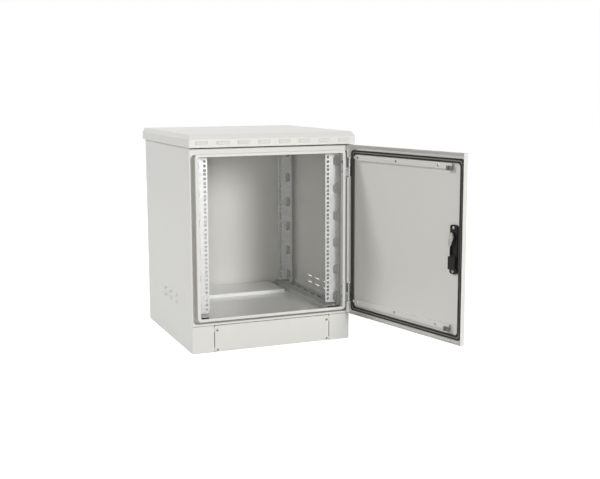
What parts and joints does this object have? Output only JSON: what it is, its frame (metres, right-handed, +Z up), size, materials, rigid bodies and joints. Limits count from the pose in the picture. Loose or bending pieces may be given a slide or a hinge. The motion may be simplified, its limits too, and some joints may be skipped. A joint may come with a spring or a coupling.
{
  "type": "outdoor equipment cabinet",
  "caption": "Free-standing sheet-metal outdoor equipment cabinet with louvred rain hood, plinth, gasketed pan door on side hinges, swing handle lock and rack mounting rails",
  "frame": {"origin": "on the floor at the middle of the body's footprint, the centre of the four floor anchor holes", "axes": "+Z up, +X to the right as seen from the front, +Y from the door towards the rear; millimetre STEP files"},
  "size_m": [0.7454, 1.2121, 0.762],
  "materials": {
    "grey_coat": "light grey fine-textured powder coat",
    "galvanised": "galvanised sheet, satin",
    "zinc_fastener": "bright zinc plating",
    "zinc_casting": "zinc die casting, satin",
    "seal_foam": "matt black foam rubber",
    "black_plastic": "fine-grained black polyamide",
    "grey_plastic": "fine-grained dark grey polyamide"
  },
  "bodies": {
    "cabinet": {"left_side_panel": "grey_coat", "right_side_panel": "grey_coat", "rear_panel": "grey_coat", "front_frame": "grey_coat", "top_plate": "grey_coat", "floor_plate": "grey_coat", "cable_entry_cover": "grey_coat", "plinth_front_plate": "grey_coat", "plinth_rear_plate": "grey_coat", "roof_hood": "grey_coat", "depth_rail_lower_left": "galvanised", "depth_rail_lower_right": "galvanised", "depth_rail_upper_left": "galvanised", "depth_rail_upper_right": "galvanised", "rack_rail_front_left": "galvanised", "rack_rail_front_right": "galvanised", "rack_rail_rear_left": "galvanised", "rack_rail_rear_right": "galvanised", "roof_spacers": "galvanised", "cable_cover_screws": "zinc_fastener", "plinth_screws": "zinc_fastener", "roof_bolts": "zinc_fastener", "rail_bolts": "zinc_fastener", "rail_nuts": "zinc_fastener", "hinge_bolts": "zinc_fastener", "hinge_nuts": "zinc_fastener", "hinge_pin_upper": "zinc_fastener", "hinge_pin_lower": "zinc_fastener", "hinge_body_leaf_upper": "zinc_casting", "hinge_body_leaf_lower": "zinc_casting"},
    "door": {"door_panel": "grey_coat", "door_gasket": "seal_foam", "door_stiffener_upper": "grey_coat", "door_stiffener_lower": "grey_coat", "stiffener_screws": "zinc_fastener", "rod_guide_upper": "grey_plastic", "rod_guide_lower": "grey_plastic", "hinge_door_leaf_upper": "zinc_casting", "hinge_door_leaf_lower": "zinc_casting", "hinge_leaf_screws": "zinc_fastener", "lock_escutcheon": "black_plastic", "lock_housing": "black_plastic", "lock_screws": "zinc_fastener", "lock_cylinder": "zinc_casting"},
    "handle": {"handle_spindle": "zinc_casting", "lock_cam": "zinc_casting", "cam_bolt": "zinc_fastener", "lever_pin": "zinc_fastener"},
    "lever": {"handle_lever": "black_plastic"},
    "core": {"lock_core": "zinc_casting"}
  },
  "joints": [
    {"name": "door_hinge", "type": "hinge", "parent": "cabinet", "child": "door", "pos_m": [0.294, -0.315, 0.4045], "axis": [0, 0, 1], "range_deg": [-102.6, 17.4]},
    {"name": "handle_turn", "type": "hinge", "parent": "door", "child": "handle", "pos_m": [0.42042, -0.84161, 0.44501], "axis": [-0.9759, -0.2181, 0], "range_deg": [0, 90]},
    {"name": "lever_lift", "type": "hinge", "parent": "handle", "child": "lever", "pos_m": [0.43153, -0.834, 0.44501], "axis": [0, 0, -1], "range_deg": [0, 35]},
    {"name": "core_turn", "type": "hinge", "parent": "door", "child": "core", "pos_m": [0.42676, -0.84019, 0.36001], "axis": [-0.9759, -0.2181, 0], "range_deg": [0, 90]}
  ]
}
